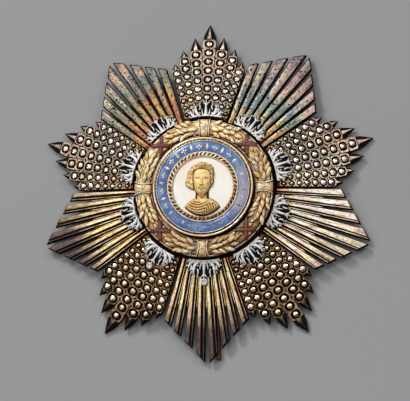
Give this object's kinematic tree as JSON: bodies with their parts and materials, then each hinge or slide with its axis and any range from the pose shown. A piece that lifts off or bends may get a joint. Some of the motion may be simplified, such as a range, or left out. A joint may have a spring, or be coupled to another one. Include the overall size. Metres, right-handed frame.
{
  "type": "grand cross breast star",
  "caption": "Ten-pointed breast star with fluted and beaded rays, laurel wreath, enamelled medallion with a relief bust, and a hinged pin.",
  "frame": {"origin": "on the star's axis, in the plane that the star lies on (the undersides of its beaded points)", "axes": "+Z out of the face, +Y to the top beaded point, +X to the viewer's right"},
  "size_m": [0.0844, 0.088, 0.0117],
  "materials": {
    "toned_silver": "silver, polished ray tops, dark toning in the grooves, rainbow toning of gold, teal and purple",
    "frosted_silver": "cast frosted silver with dark grime in its hollows",
    "silver": "plain silver, satin",
    "gold": "gilt silver, satin with bright edges and brown hollows",
    "red_enamel": "glossy translucent red enamel",
    "blue_enamel": "glossy mid-blue enamel",
    "white_enamel": "glossy white enamel with a pink pearl sheen",
    "pin_wire": "golden-brown drawn wire, polished"
  },
  "bodies": {
    "star": {"fluted_star": "toned_silver", "beaded_star": "toned_silver", "palmette_1": "frosted_silver", "palmette_2": "frosted_silver", "palmette_3": "frosted_silver", "palmette_4": "frosted_silver", "palmette_5": "frosted_silver", "palmette_6": "frosted_silver", "palmette_7": "frosted_silver", "palmette_8": "frosted_silver", "palmette_9": "frosted_silver", "palmette_10": "frosted_silver", "laurel_wreath": "gold", "ribbon_cross_1": "red_enamel", "ribbon_cross_2": "red_enamel", "ribbon_cross_3": "red_enamel", "ribbon_cross_4": "red_enamel", "band_clasp_1": "gold", "band_clasp_2": "gold", "band_clasp_3": "gold", "band_clasp_4": "gold", "medallion_cup": "gold", "blue_enamel_ring": "blue_enamel", "rope_ring": "gold", "white_disc": "white_enamel", "bust": "gold", "hinge_bracket": "silver", "pin_catch": "silver"},
    "pin": {"brooch_pin": "pin_wire"}
  },
  "joints": [
    {"name": "pin_hinge", "type": "hinge", "parent": "star", "child": "pin", "pos_m": [0, 0.026, 0.0016], "axis": [0.9988, 0.0493, 0], "range_deg": [0, 105]}
  ]
}
